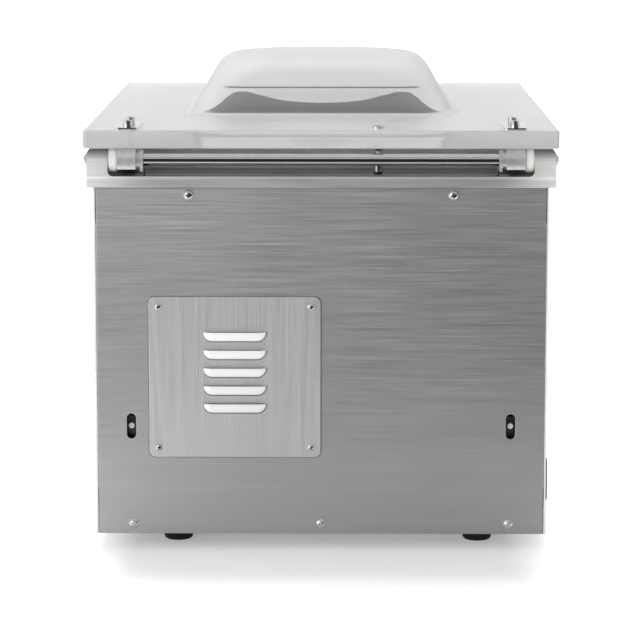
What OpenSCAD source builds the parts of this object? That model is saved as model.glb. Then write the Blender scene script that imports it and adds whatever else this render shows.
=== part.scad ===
// Tabletop chamber vacuum sealer: steel housing, welded chamber, clear domed lid on a rear hinge rod.
// Origin on the surface it stands on, under the middle of the machine. +Z up, -Y is the control side.

/* [Lid] */
// Width of the acrylic lid
lid_w = 344; // [342:1:350]
// Depth of the acrylic lid
lid_d = 420; // [416:1:424]
// Thickness of the lid's flat plate
lid_t = 13; // [12:0.5:16]
// Width of the lid's dome at its base
dome_w = 203; // [180:1:220]
// Depth of the lid's dome at its base
dome_d = 178; // [160:1:190]
// Height of the dome above the plate
dome_h = 44; // [36:1:50]
// Wall thickness of the dome
dome_wall = 7; // [5:0.5:9]
// Distance from the lid's rear edge to the dome
dome_setback = 121; // [116:1:124]

/* [Housing] */
// Depth from the lid's rear edge to the front of the base
overall_d = 480; // [478:1:490]
// Width across the side panels
body_w = 331; // [329:1:332]
// Width across the top deck
deck_w = 340; // [339:1:341]
// Height of the deck's rim
deck_h = 28.3; // [28:0.1:30]
// Height of the panels between the feet and the deck
body_h = 257.4; // [250:0.2:270]
// Thickness of the folded sheet steel
sheet = 1.5; // [1.2:0.1:1.6]
// Thickness of the screwed-on rear panels
panel_t = 1.2; // [1:0.1:1.5]
// Height of the rubber feet
foot_h = 12; // [10:1:16]
// Height of the upright part of the front, below the sloping controls
apron_h = 58; // [50:1:70]

/* [Hinge] */
// Diameter of the hinge rod
rod_d = 9; // [8.6:0.1:9.2]
// Radial running clearance of the lid's hinge blocks on the rod
rod_fit = 0.05; // [0.03:0.01:0.08]
// Width of the notch for the hinge in the deck's rear rim
notch_w = 309; // [307:1:310]
// Depth of that notch below the deck's top
notch_h = 20.2; // [20:0.1:20.6]
// Width of each hinge block
block_w = 13.3; // [12:0.1:13.6]
// Distance of the hinge blocks' middles from the centre line
block_x = 140.8; // [140.4:0.1:141]

/* [Chamber] */
// Inside width of the vacuum chamber
chamber_w = 284; // [270:1:286]
// Inside depth of the vacuum chamber
chamber_l = 310; // [300:1:312]
// Depth of the chamber below the deck's top
chamber_h = 95; // [80:1:110]
// Length of the heated sealing bar
seal_len = 262; // [250:1:264]
// Upward travel of the sealing bar
seal_travel = 6; // [4:0.5:6.5]

/* [Service opening] */
// Width of the louvred cover plate
vent_w = 125.4; // [120:0.2:128]
// Height of the louvred cover plate
vent_h = 118.8; // [116:0.2:122]
// Length of each louvre
louvre_w = 48; // [40:1:56]
// Height of each louvre
louvre_h = 7.7; // [6:0.1:8.5]
// Distance from one louvre to the next
louvre_pitch = 13.3; // [12:0.1:14]

/* [Controls] */
// Diameter of the vacuum gauge's dial
gauge_d = 60; // [50:1:64]
// Diameter of the push buttons
button_d = 13; // [11:0.5:15]
// Travel of the push buttons
button_travel = 1.2; // [0.8:0.1:1.3]
// Angle of the rocker switch from off to on
rocker_swing = 20; // [16:1:24]

/* [Hidden] */
$fn = 64;
eps = 0.01;

// Heights
deck_z = foot_h + body_h;
deck_top = deck_z + deck_h;
lid_gap = 0.3;
lid_z = deck_top + lid_gap;
lid_top = lid_z + lid_t;

// Hinge: the deck's rear top edge is bent concentric with the rod, so the lid clears it as it swings
deck_bend_r = 9;
lid_behind = 12;
lid_rear_y = overall_d / 2;
lid_front_y = lid_rear_y - lid_d;
hinge_y = lid_rear_y - lid_behind;
hinge_z = deck_top - deck_bend_r;
deck_rear_y = hinge_y + deck_bend_r;
deck_front_y = lid_front_y + 4;
deck_edge_r = 5;
block_back_r = 10.9;
block_below = 6.2;
block_front = 40;
trough_front_y = hinge_y - block_front - 6;
floor_z = deck_top - notch_h;
notch_r = 4;
bush_d = 18;
crank_in = 5.1;
crank_t = 2;
hook_r = 8.6;
hook_angle = -44;

// Dome: its wall slopes in by the draft, rolls over, and meets a crown that starts at the slope below
dome_corner_r = 28;
dome_draft = 22.8;
dome_rim_h = dome_h - 5.5;
crown_slope = 8.5;
dome_roll_r = (dome_corner_r * cos(dome_draft) - dome_rim_h * sin(dome_draft))
              / (1 - sin(crown_slope) * cos(dome_draft) - cos(crown_slope) * sin(dome_draft));

// Body panels
body_rear_y = deck_rear_y - sheet;
body_front_y = -overall_d / 2;
fascia_top_y = deck_front_y + 5;
apron_z = foot_h + apron_h;
fascia_rise = deck_z - apron_z;
fascia_run = fascia_top_y - body_front_y;
fascia_len = sqrt(fascia_rise * fascia_rise + fascia_run * fascia_run);
fascia_angle = atan2(fascia_rise, fascia_run);
side_in = body_w / 2 - sheet;
side_top = deck_top - sheet;
rear_in = body_rear_y - panel_t;

feet_x = [-117, 107];

// Screws: [x, z] on the rear panel
rear_screws = [for (x = [-96, 96]) [x, deck_z - 5.7], for (x = [-138, 0, 138]) [x, foot_h + 7.6]];
lid_screw_back = [20, 45];
slot_x = 139;
slot_z = 92.8;
slot_w = 6.8;
slot_h = 18.7;

// Louvred plate
vent_x = 63;
vent_z = 129.4;
vent_screw_x = 55.8;
vent_screw_z = 52.3;
louvres = 5;
louvre_z = 132.6;
louvre_proud = 2.7;
louvre_c = (louvre_h * louvre_h - louvre_proud * louvre_proud) / (2 * louvre_proud);
louvre_wall = 1;

// Chamber and gasket
chamber_y = 5;
chamber_r = 22;
chamber_bend = 12;
chamber_floor = deck_top - chamber_h;
channel_w = 12;
channel_h = 9;
gasket_w = 10;

// Sealing bar
seal_back = 18;
seal_y = chamber_y - chamber_l / 2 + seal_back;
seal_w = 14;
seal_top = 282.4;
seal_h = 22;
lift_x = 88;
lift_pin_d = 8;
counter_z = seal_top + seal_travel + 0.9;

// Lid switch
switch_x = -41.5;
switch_y = hinge_y - 8.5;
switch_top = floor_z + 1.6;

// Lid springs, leaning from the crank's hook to the adjusting bolts
spring_wire = 1.5;
spring_x = block_x - block_w / 2 - crank_in - 1.1;
hook_y = hinge_y + hook_r * cos(hook_angle);
hook_z = hinge_z + hook_r * sin(hook_angle);
spring_lean = 8;
spring_len = (hook_z - slot_z) / cos(spring_lean);
spring_coil_d = 11;
anchor_y = hook_y - (hook_z - slot_z) * tan(spring_lean);

// Pump and motor under the chamber
motor_x = vent_x;
motor_z = 112;
motor_r = 52;
motor_l = 134;
motor_rear_y = 168;
fan_y = 186;
fan_r = 44;
pump_w = 120;
pump_l = 104;
pump_h = 118;
pump_y = -22;
valve_x = -70;

// Controls, placed on the sloping front as [across, up the slope]
gauge_at = [-104, 112];
display_at = [0, 142];
buttons_at = [for (x = [-42, -14, 14, 42]) [x, 96]];
rocker_at = [112, 60];
rocker_pivot = -6;
board_z = -16;
inlet_y = 190;
inlet_z = 48;

// ---- Shared forms ----

// Rounded rectangle about the origin
module rrect(w, d, r) {
  square([w - 2 * r, d], center = true);
  square([w, d - 2 * r], center = true);
  for (x = [-1, 1], y = [-1, 1]) translate([x * (w / 2 - r), y * (d / 2 - r)]) circle(r);
}

module rbox(w, d, h, r) {
  linear_extrude(h) rrect(w, d, r);
}

// Rectangle from (x0, z0) to (x1, z1) whose two upper corners are rounded
module round_top(x0, x1, z0, z1, r0, r1) {
  translate([x0 + r0, z0]) square([x1 - r1 - x0 - r0, z1 - z0]);
  translate([x0, z0]) square([r0 + eps, z1 - z0 - r0]);
  translate([x1 - r1 - eps, z0]) square([r1 + eps, z1 - z0 - r1]);
  translate([x0 + r0, z1 - r0]) circle(r0);
  translate([x1 - r1, z1 - r1]) circle(r1);
}

// Pressed basin standing on z = 0: upright corners of radius rc, floor edges of radius rf
module basin(w, d, h, rc, rf) {
  translate([0, d / 2 - rc, 0]) rotate([90, 0, 0]) linear_extrude(d - 2 * rc)
    mirror([0, 1]) round_top(-w / 2, w / 2, -h, 0, rf, rf);
  translate([-w / 2 + rc, 0, 0]) rotate([90, 0, 90]) linear_extrude(w - 2 * rc)
    mirror([0, 1]) round_top(-d / 2, d / 2, -h, 0, rf, rf);
  for (x = [-1, 1], y = [-1, 1])
    translate([x * (w / 2 - rc), y * (d / 2 - rc), 0]) rotate_extrude()
      intersection() {
        mirror([0, 1]) round_top(-rc, rc, -h, 0, rf, rf);
        translate([0, -eps]) square([rc, h + 1]);
      }
}

// Pan-head screw with a cross recess, standing on z = 0 with its shank below
module pan_screw(head_d, head_h, shank_d, shank_l) {
  difference() {
    rotate_extrude() intersection() {
      translate([0, head_h - head_d * 0.62]) circle(head_d * 0.62);
      square([head_d / 2, head_h]);
    }
    for (a = [0, 90]) rotate(a) translate([0, 0, head_h])
      cube([head_d * 0.55, head_d * 0.14, head_h], center = true);
  }
  translate([0, 0, -shank_l]) cylinder(d = shank_d, h = shank_l);
}

// Places children on the rear panel, their z axis pointing out to the rear
module on_rear(x, z, y = body_rear_y) {
  translate([x, y, z]) rotate([-90, 0, 0]) children();
}

// Places children on the sloping front, their z axis pointing out and y axis up the slope
module on_fascia(at, out = 0) {
  translate([0, body_front_y, apron_z]) rotate([fascia_angle, 0, 0])
    translate([at[0], at[1], out]) children();
}

// Round bar between two points
module rod_between(a, b, r) {
  d = b - a;
  len = norm(d);
  translate(a) rotate([0, acos(d[2] / len), atan2(d[1], d[0])]) cylinder(r = r, h = len);
}

// Hose through points, with ball elbows at the bends
module pipe(points, r) {
  for (i = [0 : len(points) - 2]) rod_between(points[i], points[i + 1], r);
  for (i = [1 : len(points) - 2]) translate(points[i]) sphere(r + 1.2);
}

// ---- Base and panels ----

module feet() {
  color("dimgray") for (x = feet_x, y = [body_front_y + 38, body_rear_y - 36])
    translate([x, y, 0]) difference() {
      rotate_extrude() polygon([[0, 0], [9.5, 0], [10.6, 1.2], [12, foot_h], [0, foot_h]]);
      translate([0, 0, -1]) cylinder(r = 4.2, h = 5);
    }
}

// Side outline of the housing, drawn as (y, z)
module side_outline() {
  polygon([[body_rear_y, foot_h], [body_rear_y, hinge_z - 1], [hinge_y - 2, side_top],
           [fascia_top_y, side_top], [fascia_top_y, deck_z], [body_front_y, apron_z],
           [body_front_y, foot_h]]);
}

module side_panel(s) {
  wall_x = s > 0 ? side_in : -body_w / 2;
  lip = 14;
  color("silver") {
    difference() {
      translate([wall_x, 0, 0]) rotate([90, 0, 90]) linear_extrude(sheet) side_outline();
      translate([s * side_in - 5, hinge_y, hinge_z]) rotate([0, 90, 0]) cylinder(d = rod_d, h = 10);
      if (s < 0) translate([-body_w / 2 - 5, inlet_y, inlet_z]) rotate([0, 90, 0]) rbox(20, 27.6, 10, 3);
    }
    // Lip behind the sloping fascia
    on_fascia([s * (side_in - lip / 2), fascia_len / 2], -sheet * 1.5)
      cube([lip, fascia_len - 16, sheet], center = true);
    // Lip behind the rear panel
    translate([s * (side_in - lip / 2), rear_in - sheet / 2, (foot_h + deck_z) / 2 + 4])
      cube([lip, sheet, body_h - 60], center = true);
  }
}

module left_side_panel() { side_panel(-1); }

module right_side_panel() { side_panel(1); }

module base_tray() {
  w = 2 * side_in;
  front_in = body_front_y + sheet;
  color("gainsboro") difference() {
    union() {
      translate([-w / 2, body_front_y, foot_h]) cube([w, rear_in - body_front_y, sheet]);
      translate([-w / 2, body_front_y, foot_h]) cube([w, sheet, apron_h]);
      translate([-w / 2, rear_in - sheet, foot_h]) cube([w, sheet, 20]);
      for (s = [-1, 1]) translate([s * (w / 2 - sheet / 2), 0, foot_h + 9])
        translate([-sheet / 2, front_in, -9]) cube([sheet, rear_in - front_in, 18]);
    }
    // Cooling slots under the pump
    for (x = [-48 : 16 : 48]) translate([x + 20, -40, foot_h - 1]) linear_extrude(4) {
      square([5, 70], center = true);
      for (y = [-35, 35]) translate([0, y]) circle(2.5);
    }
    for (p = rear_screws) if (p[1] < 40) on_rear(p[0], p[1], rear_in - 4) cylinder(d = 4, h = 8);
  }
}

module rear_panel() {
  w = 2 * (side_in - 0.6);
  top = floor_z - sheet - 0.5;
  color("silver") difference() {
    translate([-w / 2, rear_in, foot_h]) cube([w, panel_t, top - foot_h]);
    for (s = [-1, 1]) on_rear(s * slot_x, slot_z, rear_in - 1) linear_extrude(4) {
      square([slot_w, slot_h - slot_w], center = true);
      for (y = [-1, 1]) translate([0, y * (slot_h - slot_w) / 2]) circle(slot_w / 2);
    }
    on_rear(vent_x, vent_z, rear_in - 1) rbox(96, 88, 4, 6);
    for (p = rear_screws) on_rear(p[0], p[1], rear_in - 1) cylinder(d = 4, h = 4);
    for (x = [-1, 1], z = [-1, 1])
      on_rear(vent_x + x * vent_screw_x, vent_z + z * vent_screw_z, rear_in - 1) cylinder(d = 3, h = 4);
  }
}

// Capsule whose upper half is cut away, leaving a hood that opens upwards
module louvre_hood(r) {
  half = louvre_w / 2 - louvre_h;
  intersection() {
    union() {
      rotate([0, 90, 0]) cylinder(r = r, h = 2 * half, center = true);
      for (x = [-1, 1]) translate([x * half, 0, 0]) sphere(r);
    }
    translate([-louvre_w, -2 * r, -2 * r]) cube([2 * louvre_w, 4 * r, 2 * r]);
  }
}

module vent_plate() {
  r = louvre_c + louvre_proud;
  face_y = body_rear_y + panel_t;
  color("silver") difference() {
    union() {
      on_rear(vent_x, vent_z) rbox(vent_w, vent_h, panel_t, 4.5);
      for (i = [0 : louvres - 1]) translate([vent_x, face_y, 0])
        intersection() {
          translate([0, -louvre_c, louvre_top(i)]) louvre_hood(r);
          translate([-louvre_w, -panel_t, 0]) cube([2 * louvre_w, 20, 400]);
        }
    }
    for (i = [0 : louvres - 1]) translate([vent_x, face_y - louvre_c, louvre_top(i) + eps])
      louvre_hood(r - louvre_wall);
    for (x = [-1, 1], z = [-1, 1])
      on_rear(vent_x + x * vent_screw_x, vent_z + z * vent_screw_z, body_rear_y - 1) cylinder(d = 3, h = 4);
  }
}

function louvre_top(i) = louvre_z + louvre_pitch * ((louvres - 1) / 2 - i) + louvre_h / 2;

module vent_plate_screws() {
  color("gainsboro") for (x = [-1, 1], z = [-1, 1])
    on_rear(vent_x + x * vent_screw_x, vent_z + z * vent_screw_z, body_rear_y + panel_t)
      rotate(25 * (x + 2 * z)) pan_screw(5.4, 1.7, 3, 5);
}

module rear_panel_screws() {
  color("gainsboro") for (p = rear_screws)
    on_rear(p[0], p[1]) rotate(p[0] * 1.7) pan_screw(7.2, 2.4, 4, 7);
}

// ---- Deck and chamber ----

// Deck's outer form shrunk by t, with bends along all four top edges
module deck_form(t, low) {
  intersection() {
    translate([0, deck_rear_y - t, 0]) rotate([90, 0, 0]) linear_extrude(deck_rear_y - deck_front_y - 2 * t)
      round_top(-deck_w / 2 + t, deck_w / 2 - t, low, deck_top - t, deck_edge_r - t, deck_edge_r - t);
    translate([-deck_w / 2 + t, 0, 0]) rotate([90, 0, 90]) linear_extrude(deck_w - 2 * t)
      round_top(deck_front_y + t, deck_rear_y - t, low, deck_top - t, deck_edge_r - t, deck_bend_r - t);
  }
}

// Hinge trough across the rear of the deck, grown by t
module trough_form(t, rear) {
  w = notch_w + 2 * t;
  translate([0, rear, 0]) rotate([90, 0, 0]) linear_extrude(rear - trough_front_y + t)
    mirror([0, 1]) round_top(-w / 2, w / 2, -deck_top - 3, -floor_z + t, notch_r + t, notch_r + t);
}

module deck_frame() {
  color("lightgray") difference() {
    union() {
      difference() {
        deck_form(0, deck_z);
        deck_form(sheet, deck_z - 1);
      }
      intersection() {
        deck_form(0, deck_z);
        trough_form(sheet, deck_rear_y);
      }
      // Flange turned in under the rim
      difference() {
        translate([-deck_w / 2 + 1, deck_front_y + 1, deck_z])
          cube([deck_w - 2, deck_rear_y - deck_front_y - 2, sheet]);
        translate([-body_w / 2, fascia_top_y, deck_z - 1])
          cube([body_w, body_rear_y - fascia_top_y, sheet + 2]);
      }
    }
    trough_form(0, deck_rear_y + 5);
    translate([0, chamber_y, deck_z - 2]) rbox(channel_out_w(), channel_out_l(), deck_h + 4, channel_out_r());
    // Openings in the trough's floor for the spring hooks and the lid switch
    for (s = [-1, 1]) translate([s * (block_x - block_w / 2 - 3.4), hinge_y + 0.2, floor_z - 1])
      cube([11, 11.6, 8], center = true);
    translate([switch_x, switch_y, floor_z - 4]) cylinder(r = 3.3, h = 8);
    // The rod's seats and the holes for its screws
    translate([0, hinge_y, hinge_z]) rotate([0, 90, 0]) {
      cylinder(d = 5, h = deck_w + 2, center = true);
      cylinder(d = rod_d, h = deck_w - 2 * sheet, center = true);
    }
  }
}

function channel_out_w() = chamber_w + 2 * (2 * sheet + channel_w);
function channel_out_l() = chamber_l + 2 * (2 * sheet + channel_w);
function channel_out_r() = chamber_r + 2 * sheet + channel_w;

module chamber_tub() {
  wall_w = chamber_w + 2 * sheet;
  wall_l = chamber_l + 2 * sheet;
  color("lightsteelblue") translate([0, chamber_y, 0]) difference() {
    union() {
      translate([0, 0, chamber_floor - sheet])
        basin(wall_w, wall_l, chamber_h + sheet - 0.6, chamber_r + sheet, chamber_bend + sheet);
      translate([0, 0, deck_top - channel_h - sheet])
        rbox(channel_out_w(), channel_out_l(), channel_h + sheet, channel_out_r());
    }
    translate([0, 0, chamber_floor]) basin(chamber_w, chamber_l, chamber_h + 5, chamber_r, chamber_bend);
    translate([0, 0, deck_top - channel_h]) linear_extrude(channel_h + 5) difference() {
      rrect(channel_out_w() - 2 * sheet, channel_out_l() - 2 * sheet, channel_out_r() - sheet);
      rrect(wall_w, wall_l, chamber_r + sheet);
    }
    // Suction port in the rear wall and air holes for the sealing bar's cylinders
    translate([valve_x, chamber_l / 2 - 5, chamber_floor + 40]) rotate([-90, 0, 0]) cylinder(r = 8, h = 20);
    for (s = [-1, 1]) translate([s * lift_x, seal_y - chamber_y, chamber_floor - 5]) cylinder(r = 3, h = 10);
  }
}

module chamber_gasket() {
  inner_w = chamber_w + 2 * sheet + channel_w - gasket_w;
  inner_l = chamber_l + 2 * sheet + channel_w - gasket_w;
  inner_r = chamber_r + sheet + (channel_w - gasket_w) / 2;
  outer_w = inner_w + 2 * gasket_w;
  outer_l = inner_l + 2 * gasket_w;
  outer_r = inner_r + gasket_w;
  crown = 2.5;
  color("white") translate([0, chamber_y, deck_top - channel_h]) difference() {
    union() {
      rbox(outer_w, outer_l, channel_h + lid_gap - crown, outer_r);
      rbox(outer_w - 2, outer_l - 2, channel_h + lid_gap - 1, outer_r - 1);
      rbox(outer_w - 5, outer_l - 5, channel_h + lid_gap, outer_r - 2.5);
    }
    translate([0, 0, -1]) rbox(inner_w, inner_l, 30, inner_r);
    translate([0, 0, channel_h + lid_gap - crown]) rbox(inner_w + 2, inner_l + 2, 30, inner_r + 1);
    translate([0, 0, channel_h + lid_gap - 1]) rbox(inner_w + 5, inner_l + 5, 30, inner_r + 2.5);
  }
}

// Loose plastic plate that takes up room under small bags
module filler_plate() {
  color("whitesmoke") translate([0, chamber_y + 20, chamber_floor]) {
    rbox(chamber_w - 38, chamber_l - 66, 12, 12);
    translate([0, 0, 2]) rbox(chamber_w - 34, chamber_l - 62, 8, 14);
  }
}

// ---- Hinge ----

module hinge_rod() {
  color("silver") translate([-deck_w / 2 + sheet, hinge_y, hinge_z]) rotate([0, 90, 0])
    difference() {
      cylinder(d = rod_d, h = deck_w - 2 * sheet);
      for (z = [-1, deck_w - 2 * sheet - 13]) translate([0, 0, z]) cylinder(d = 4, h = 14);
    }
}

module hinge_side_screws() {
  color("gainsboro") for (s = [-1, 1]) translate([s * deck_w / 2, hinge_y, hinge_z])
    rotate([0, s * 90, 0]) rotate(20) pan_screw(8, 3, 4, 12);
}

module hinge_bushes() {
  from = block_x + block_w / 2 + 0.3;
  color("ivory") for (s = [-1, 1]) translate([s > 0 ? from : -notch_w / 2, hinge_y, hinge_z])
    rotate([0, 90, 0]) difference() {
      w = notch_w / 2 - from;
      union() {
        cylinder(d = bush_d - 2, h = w);
        translate([0, 0, 1]) cylinder(d = bush_d, h = w - 2);
      }
      translate([0, 0, -1]) cylinder(d = rod_d, h = 20);
    }
}

// Side outline of a hinge block about the rod, drawn as (y, z) with the lid's underside on top
module block_outline() {
  rise = lid_z - hinge_z;
  union() {
    intersection() {
      circle(block_back_r);
      translate([0, -block_below]) square([block_back_r, rise + block_below]);
    }
    translate([-block_front + 3, -block_below]) square([block_front - 3 + eps, rise + block_below]);
    translate([-block_front, -block_below + 3]) square([4, rise + block_below - 3]);
    translate([-block_front + 3, -block_below + 3]) circle(3);
  }
}

module hinge_blocks() {
  inner = block_x - block_w / 2;
  color("silver") for (s = [-1, 1]) translate([0, hinge_y, hinge_z]) difference() {
    union() {
      translate([s * block_x - block_w / 2, 0, 0]) rotate([90, 0, 90])
        linear_extrude(block_w) block_outline();
      // Collar and crank plate for the lid spring
      translate([s > 0 ? inner - crank_in : -inner, 0, 0]) rotate([0, 90, 0])
        cylinder(r = 7.4, h = crank_in);
      translate([s > 0 ? inner - crank_in : -inner + crank_in - crank_t, 0, 0]) rotate([90, 0, 90])
        linear_extrude(crank_t) crank_outline();
    }
    translate([s * block_x - 20, 0, 0]) rotate([0, 90, 0]) cylinder(r = rod_d / 2 + rod_fit, h = 40);
    translate([s * (inner - crank_in) - 5, hook_r * cos(hook_angle), hook_r * sin(hook_angle)])
      rotate([0, 90, 0]) cylinder(d = 2.2, h = s > 0 ? 5 + crank_in - 0.5 : 10);
    for (b = lid_screw_back) translate([s * block_x, lid_behind - b, 0])
      cylinder(d = 4, h = 40, center = true);
  }
}

// Crank plate, drawn as (y, z): a round boss with an ear that carries the hook hole
module crank_outline() {
  circle(7.4);
  translate([hook_r * cos(hook_angle), hook_r * sin(hook_angle)]) circle(2.2);
  rotate(hook_angle) translate([0, -2.2]) square([hook_r, 4.4]);
}

module clamp_plates() {
  color("silver") for (s = [-1, 1]) translate([s * block_x, lid_rear_y - 31, lid_top])
    difference() {
      rbox(17, 50, 1.5, 3);
      for (b = lid_screw_back) translate([0, 31 - b, -1]) cylinder(d = 4.2, h = 5);
    }
}

module lid_screws() {
  color("gainsboro") for (s = [-1, 1], b = lid_screw_back)
    translate([s * block_x, lid_rear_y - b, lid_top + 1.5]) difference() {
      union() {
        cylinder(d = 7, h = 4);
        translate([0, 0, -25]) cylinder(d = 4, h = 25);
      }
      translate([0, 0, 2]) cylinder(d = 3.5, h = 5, $fn = 6);
    }
}

// Bolt through the lid that presses the lid switch
module lid_striker() {
  color("silver") translate([switch_x, switch_y, 0]) {
    translate([0, 0, lid_top]) cylinder(d = 9, h = 1.6);
    translate([0, 0, switch_top + 0.1]) cylinder(d = 4, h = lid_top - switch_top - 0.1);
    translate([0, 0, lid_z - 3.4]) cylinder(d = 8, h = 3.4, $fn = 6);
    translate([0, 0, switch_top + 0.1]) cylinder(d = 6, h = 7);
  }
}

// ---- Lid ----

// Section of the dome's rim, from its corner axis outwards: a sloping wall that rolls over into the crown
module dome_roll(t, skirt) {
  c = [-dome_roll_r * sin(crown_slope), dome_rim_h - dome_roll_r * cos(crown_slope)];
  r = dome_roll_r - t;
  foot = dome_corner_r - t / cos(dome_draft);
  intersection() {
    union() {
      translate(c) circle(r);
      polygon([[c[0], -skirt], [foot + skirt * tan(dome_draft), -skirt],
               c + r * [cos(dome_draft), sin(dome_draft)], c]);
    }
    translate([0, -skirt]) square([60, dome_h + skirt]);
  }
}

// Crowned slab between two rims that stand span apart, extruded over a length
module dome_crown(t, skirt, span, length) {
  rise = dome_h - dome_rim_h;
  crown_r = (span * span / 4 + rise * rise) / (2 * rise);
  rotate([90, 0, 0]) linear_extrude(length, center = true) intersection() {
    translate([0, dome_h - crown_r]) circle(crown_r - t, $fn = 128);
    translate([-span / 2, -skirt]) square([span, dome_h + skirt]);
  }
}

// Dome shrunk by t, standing on z = 0 with a flaring skirt below
module dome_form(t, skirt) {
  span_x = dome_w - 2 * dome_corner_r;
  span_y = dome_d - 2 * dome_corner_r;
  intersection() {
    dome_crown(t, skirt, span_x, span_y);
    rotate(90) dome_crown(t, skirt, span_y, span_x);
  }
  for (s = [0, 180]) rotate(s) {
    translate([span_x / 2, 0, 0]) rotate([90, 0, 0])
      linear_extrude(span_y, center = true) dome_roll(t, skirt);
    rotate(90) translate([span_y / 2, 0, 0]) rotate([90, 0, 0])
      linear_extrude(span_x, center = true) dome_roll(t, skirt);
  }
  for (x = [-1, 1], y = [-1, 1]) translate([x * span_x / 2, y * span_y / 2, 0])
    rotate(atan2(y, x) - 45) rotate_extrude(angle = 90) dome_roll(t, skirt);
}

module lid_plate() {
  dome_y = lid_rear_y - dome_setback - dome_d / 2;
  color("aliceblue", 0.5) difference() {
    union() {
      translate([0, (lid_rear_y + lid_front_y) / 2, lid_z]) rbox(lid_w, lid_d, lid_t, 3);
      translate([0, dome_y, lid_top]) dome_form(0, lid_t / 2);
    }
    translate([0, dome_y, lid_top]) dome_form(dome_wall, lid_t + 1);
    for (s = [-1, 1], b = lid_screw_back)
      translate([s * block_x, lid_rear_y - b, lid_z - 1]) cylinder(d = 4.2, h = lid_t + 2);
    translate([switch_x, switch_y, lid_z - 1]) cylinder(d = 4.2, h = lid_t + 2);
  }
}

module counter_bar_holder() {
  top = lid_z - counter_z - 3;
  color("silver") translate([0, seal_y, counter_z + 3]) difference() {
    translate([-seal_len / 2 - 2, -8, 0]) cube([seal_len + 4, 16, top]);
    translate([-seal_len / 2 - 3, -5, -1]) cube([seal_len + 6, 10, 3]);
  }
}

module counter_bar_strip() {
  color("lightpink") translate([-seal_len / 2, seal_y, counter_z]) {
    translate([0, -5, 1]) cube([seal_len, 10, 4]);
    translate([0, -4, 0]) cube([seal_len, 8, 2]);
  }
}

// ---- Lid springs ----

// Close-wound extension spring along -z from its top hook
module spring_body() {
  coil_r = spring_coil_d / 2 - spring_wire / 2;
  lead_top = 44;
  lead_low = 16;
  turns = floor((spring_len - lead_top - lead_low) / (3 * spring_wire));
  coil_len = turns * 3 * spring_wire;
  translate([0, 0, -spring_len]) cylinder(d = spring_wire, h = spring_len);
  translate([0, 0, -lead_top - coil_len]) rotate_extrude() {
    for (i = [0 : turns - 1]) translate([coil_r, (i + 0.5) * 3 * spring_wire]) circle(1.5 * spring_wire / 2);
    translate([coil_r - 0.4, 0]) square([0.8, coil_len]);
  }
  for (z = [-lead_top - 1, -lead_top - coil_len]) translate([0, 0, z]) cylinder(r = coil_r + 0.3, h = 1);
}

module lid_springs() {
  color("darkgray") for (s = [-1, 1]) translate([s * spring_x, hook_y, hook_z]) {
    rotate([-spring_lean, 0, 0]) spring_body();
    sphere(d = spring_wire);
    // Hook's end through the crank's hole
    translate([s > 0 ? 0 : -4.4, 0, 0]) rotate([0, 90, 0]) cylinder(d = spring_wire, h = 4.4);
  }
}

// Brackets inside the housing; a lip turns down behind each slot and steadies the adjusting bolt
module spring_brackets() {
  y = anchor_y;
  lip_y = rear_in - 5;
  color("silver") for (s = [-1, 1]) difference() {
    union() {
      translate([s > 0 ? spring_x - 7 : -side_in, y - 1, slot_z - 14]) cube([side_in - spring_x + 7, 2, 28]);
      translate([s > 0 ? side_in - 2 : -side_in, y - 1, slot_z - 14]) cube([2, 20, 28]);
      translate([s * slot_x - 3, y, slot_z + 5]) cube([6, lip_y - y, 1.5]);
      translate([s * slot_x - 3, lip_y - 1.5, slot_z - 9]) cube([6, 1.5, 15.5]);
    }
    translate([s * slot_x, y, slot_z]) rotate([90, 0, 0]) cylinder(d = 4, h = 60, center = true);
    // Notch for the spring's lower hook
    translate([s * spring_x - 1.5, y - 5, slot_z - 1.5]) cube([3, 10, 30]);
  }
}

module spring_anchor_bolts() {
  tip = body_rear_y - 1.6;
  color("gainsboro") for (s = [-1, 1]) translate([s * slot_x, 0, slot_z]) rotate([-90, 0, 0]) {
    difference() {
      translate([0, 0, anchor_y - 8]) cylinder(d = 4, h = tip - anchor_y + 8);
      translate([0, 0, tip - 1]) cylinder(d = 1.8, h = 2);
    }
    for (y = [anchor_y - 4.2, anchor_y + 1]) translate([0, 0, y]) cylinder(d = 8, h = 3.2, $fn = 6);
  }
}

// ---- Sealing bar ----

module seal_bar() {
  color("silver") translate([0, seal_y, seal_top - 1.5 - seal_h]) difference() {
    translate([-seal_len / 2, -seal_w / 2, 0]) cube([seal_len, seal_w, seal_h - 3]);
    for (s = [-1, 1]) translate([s * lift_x, 0, -1]) cylinder(d = lift_pin_d, h = 9);
    for (s = [-1, 1]) translate([-seal_len, s * (seal_w / 2 + 1), 9]) cube([2 * seal_len, 4, 4]);
  }
}

module seal_bar_insulator() {
  color("saddlebrown") translate([-seal_len / 2, seal_y - seal_w / 2 + 1, seal_top - 4.5])
    cube([seal_len, seal_w - 2, 3.8]);
}

module heating_element() {
  color("gold") translate([-seal_len / 2, seal_y - 2, seal_top - 0.7]) cube([seal_len, 4, 0.4]);
}

module seal_bar_cover_tape() {
  color("tan") translate([-seal_len / 2 + 6, seal_y, seal_top - 0.7]) difference() {
    translate([0, -seal_w / 2 + 1, 0]) cube([seal_len - 12, seal_w - 2, 0.7]);
    translate([-1, -2, -1]) cube([seal_len, 4, 1.4]);
  }
}

module seal_bar_pins() {
  color("silver") for (s = [-1, 1]) translate([s * lift_x, seal_y, chamber_floor + 5])
    cylinder(d = lift_pin_d, h = seal_top - 1.5 - seal_h + 8 - chamber_floor - 5);
}

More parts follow.
